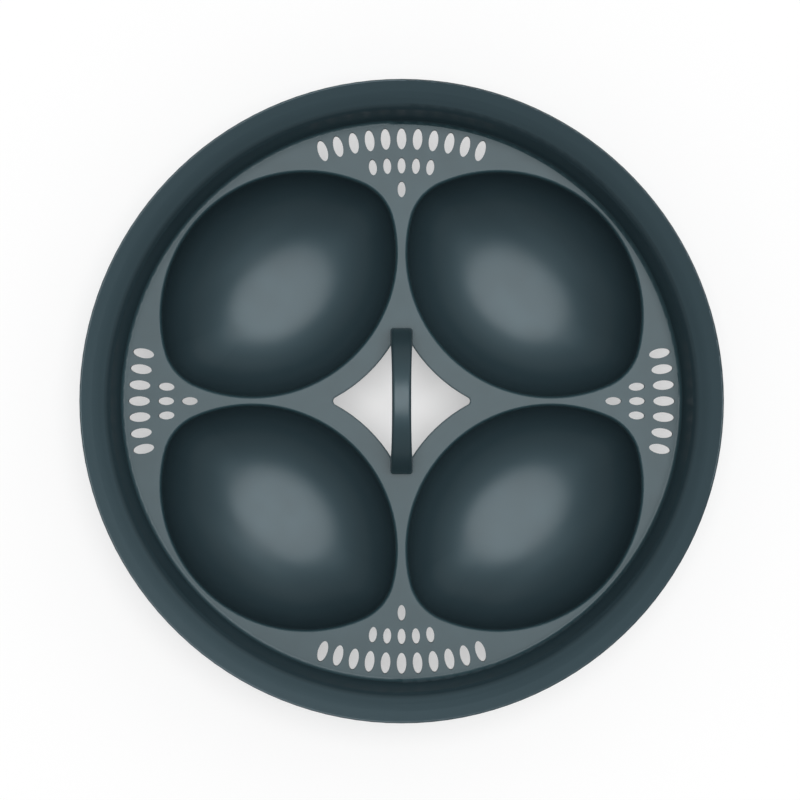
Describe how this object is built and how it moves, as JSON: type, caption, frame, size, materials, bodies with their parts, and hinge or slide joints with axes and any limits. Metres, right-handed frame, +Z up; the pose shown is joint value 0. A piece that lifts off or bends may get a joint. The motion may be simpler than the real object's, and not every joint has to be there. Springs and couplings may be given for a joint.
{
  "type": "egg poaching insert",
  "caption": "Round moulded egg poaching insert: oval cups and steam slots in a sunken deck, a flared rim that hangs on a pan's edge, and a strap handle arched over a star-shaped opening.",
  "frame": {"origin": "middle of the tray on the plane through the flat bottoms of the four cups, on which it stands", "axes": "+Z up through the handle's crown, +Y along the handle, +X across it"},
  "size_m": [0.25, 0.25, 0.061],
  "materials": {
    "moulded_plastic": "satin slate",
    "soft_grip": "satin slate silicone",
    "spring_steel": "rolled stainless strip"
  },
  "bodies": {
    "root": {"poaching_tray": "moulded_plastic", "handle_grip": "soft_grip", "handle_spring_strip": "spring_steel"}
  },
  "joints": []
}
